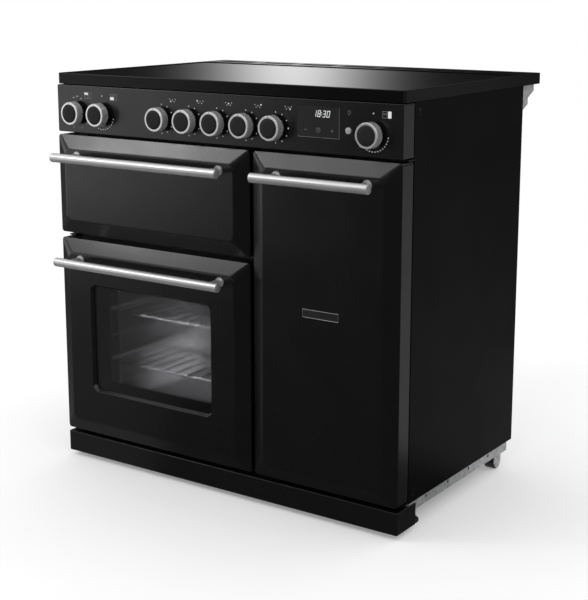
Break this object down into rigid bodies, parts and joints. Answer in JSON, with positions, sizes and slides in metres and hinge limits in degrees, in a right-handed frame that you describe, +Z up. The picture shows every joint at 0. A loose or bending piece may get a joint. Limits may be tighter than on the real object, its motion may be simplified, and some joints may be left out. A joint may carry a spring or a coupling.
{
  "type": "range cooker with double oven",
  "caption": "free-standing electric range cooker with induction hob, drop-down grill door and two side-hung oven doors, rotary controls and towel-rail handles",
  "frame": {"origin": "on the floor, under the middle of the whole part's box", "axes": "X to the right seen from the front, Y to the back, Z up; the doors face -Y"},
  "size_m": [0.9, 0.69, 0.905],
  "materials": {
    "black_enamel": "satin black enamel",
    "galvanised": "galvanised sheet",
    "hob_black_glass": "polished black ceramic glass",
    "tinted_glass": "tinted clear glass",
    "brushed_bar": "brushed steel",
    "oven_enamel": "dark vitreous enamel",
    "bright_wire": "bright plated wire",
    "seal_rubber": "soft silicone",
    "dark_plastic": "moulded",
    "coil_metal": "wound strip",
    "clear_lamp": "clear glass",
    "motor_steel": "plain steel can"
  },
  "bodies": {
    "carcass": {"back_panel": "galvanised", "base_frame": "galvanised", "clock_module": "dark_plastic", "clock_window": "hob_black_glass", "control_fascia": "black_enamel", "door_hinges": "galvanised", "door_seals": "seal_rubber", "fan_covers": "oven_enamel", "fan_motors": "motor_steel", "fascia_chassis": "galvanised", "front_feet": "dark_plastic", "grill_cavity": "oven_enamel", "grill_element": "bright_wire", "hob_brackets": "galvanised", "hob_frame": "black_enamel", "hob_glass": "hob_black_glass", "hob_tray": "galvanised", "induction_coils": "coil_metal", "main_oven_cavity": "oven_enamel", "oven_lamps": "clear_lamp", "oven_side_racks": "bright_wire", "pan_runners": "galvanised", "plinth": "black_enamel", "power_boards": "dark_plastic", "ring_elements": "bright_wire", "roller_brackets": "galvanised", "rotary_switches": "dark_plastic", "side_panel_left": "black_enamel", "side_panel_right": "black_enamel", "tall_oven_cavity": "oven_enamel", "terminal_box": "dark_plastic", "vent_grille": "black_enamel"},
    "grill_door": {"grill_door_panel": "black_enamel", "grill_door_liner": "oven_enamel", "grill_door_handle": "brushed_bar"},
    "main_door": {"main_door_panel": "black_enamel", "main_door_window": "tinted_glass", "main_door_liner": "oven_enamel", "main_door_inner_glass": "tinted_glass", "main_door_handle": "brushed_bar"},
    "tall_door": {"tall_door_panel": "black_enamel", "tall_door_liner": "oven_enamel", "tall_door_handle": "brushed_bar"},
    "grill_pan_set": {"grill_pan": "oven_enamel", "pan_trivet": "bright_wire"},
    "main_shelves": {"main_oven_shelves": "bright_wire"},
    "tall_shelves": {"tall_oven_shelves": "bright_wire"},
    "main_fan": {"main_oven_fan": "galvanised"},
    "tall_fan": {"tall_oven_fan": "galvanised"},
    "left_roller": {"rear_roller_left": "dark_plastic"},
    "right_roller": {"rear_roller_right": "dark_plastic"},
    "light_switch_button": {"light_button": "brushed_bar"},
    "knob_grill_function_body": {"knob_grill_function": "brushed_bar"},
    "knob_main_oven_body": {"knob_main_oven": "brushed_bar"},
    "knob_hob_zone_1_body": {"knob_hob_zone_1": "brushed_bar"},
    "knob_hob_zone_2_body": {"knob_hob_zone_2": "brushed_bar"},
    "knob_hob_zone_3_body": {"knob_hob_zone_3": "brushed_bar"},
    "knob_hob_zone_4_body": {"knob_hob_zone_4": "brushed_bar"},
    "knob_hob_zone_5_body": {"knob_hob_zone_5": "brushed_bar"},
    "knob_tall_oven_body": {"knob_tall_oven": "brushed_bar"}
  },
  "joints": [
    {"name": "grill_door_hinge", "type": "hinge", "parent": "carcass", "child": "grill_door", "pos_m": [0, -0.265, 0.5585], "axis": [1, 0, 0], "range_deg": [0, 90]},
    {"name": "main_door_hinge", "type": "hinge", "parent": "carcass", "child": "main_door", "pos_m": [-0.44, -0.241, 0.3], "axis": [0, 0, -1], "range_deg": [0, 95]},
    {"name": "tall_door_hinge", "type": "hinge", "parent": "carcass", "child": "tall_door", "pos_m": [0.44, -0.241, 0.4], "axis": [0, 0, 1], "range_deg": [0, 95]},
    {"name": "grill_pan_slide", "type": "slide", "parent": "carcass", "child": "grill_pan_set", "axis": [0, -1, 0], "range_m": [0, 0.15]},
    {"name": "main_shelves_slide", "type": "slide", "parent": "carcass", "child": "main_shelves", "axis": [0, -1, 0], "range_m": [0, 0.133]},
    {"name": "tall_shelves_slide", "type": "slide", "parent": "carcass", "child": "tall_shelves", "axis": [0, -1, 0], "range_m": [0, 0.133]},
    {"name": "knob_grill_function_turn", "type": "hinge", "parent": "carcass", "child": "knob_grill_function_body", "pos_m": [-0.39, -0.273, 0.818], "axis": [0, 1, 0], "range_deg": [0, 270]},
    {"name": "knob_main_oven_turn", "type": "hinge", "parent": "carcass", "child": "knob_main_oven_body", "pos_m": [-0.3153, -0.273, 0.818], "axis": [0, 1, 0], "range_deg": [0, 300]},
    {"name": "knob_hob_zone_1_turn", "type": "hinge", "parent": "carcass", "child": "knob_hob_zone_1_body", "pos_m": [-0.1448, -0.273, 0.818], "axis": [0, 1, 0], "range_deg": [0, 300]},
    {"name": "knob_hob_zone_2_turn", "type": "hinge", "parent": "carcass", "child": "knob_hob_zone_2_body", "pos_m": [-0.0701, -0.273, 0.818], "axis": [0, 1, 0], "range_deg": [0, 300]},
    {"name": "knob_hob_zone_3_turn", "type": "hinge", "parent": "carcass", "child": "knob_hob_zone_3_body", "pos_m": [0.0046, -0.273, 0.818], "axis": [0, 1, 0], "range_deg": [0, 300]},
    {"name": "knob_hob_zone_4_turn", "type": "hinge", "parent": "carcass", "child": "knob_hob_zone_4_body", "pos_m": [0.0793, -0.273, 0.818], "axis": [0, 1, 0], "range_deg": [0, 300]},
    {"name": "knob_hob_zone_5_turn", "type": "hinge", "parent": "carcass", "child": "knob_hob_zone_5_body", "pos_m": [0.154, -0.273, 0.818], "axis": [0, 1, 0], "range_deg": [0, 300]},
    {"name": "knob_tall_oven_turn", "type": "hinge", "parent": "carcass", "child": "knob_tall_oven_body", "pos_m": [0.3835, -0.273, 0.818], "axis": [0, 1, 0], "range_deg": [0, 300]},
    {"name": "light_button_press", "type": "slide", "parent": "carcass", "child": "light_switch_button", "axis": [0, 1, 0], "range_m": [0, 0.003], "stiffness_N_per_m": 400},
    {"name": "main_fan_spin", "type": "hinge", "parent": "carcass", "child": "main_fan", "pos_m": [-0.181, 0.174, 0.30175], "axis": [0, 1, 0], "continuous": true},
    {"name": "tall_fan_spin", "type": "hinge", "parent": "carcass", "child": "tall_fan", "pos_m": [0.27375, 0.174, 0.4205], "axis": [0, 1, 0], "continuous": true},
    {"name": "left_roller_spin", "type": "hinge", "parent": "carcass", "child": "left_roller", "pos_m": [-0.419, 0.217, 0.015], "axis": [1, 0, 0], "continuous": true},
    {"name": "right_roller_spin", "type": "hinge", "parent": "carcass", "child": "right_roller", "pos_m": [0.419, 0.217, 0.015], "axis": [1, 0, 0], "continuous": true}
  ],
  "couplings": [
    {"joint": "grill_pan_slide", "follows": "grill_door_hinge", "m_per_rad": 0.095},
    {"joint": "main_shelves_slide", "follows": "main_door_hinge", "m_per_rad": 0.08},
    {"joint": "tall_shelves_slide", "follows": "tall_door_hinge", "m_per_rad": 0.08}
  ]
}
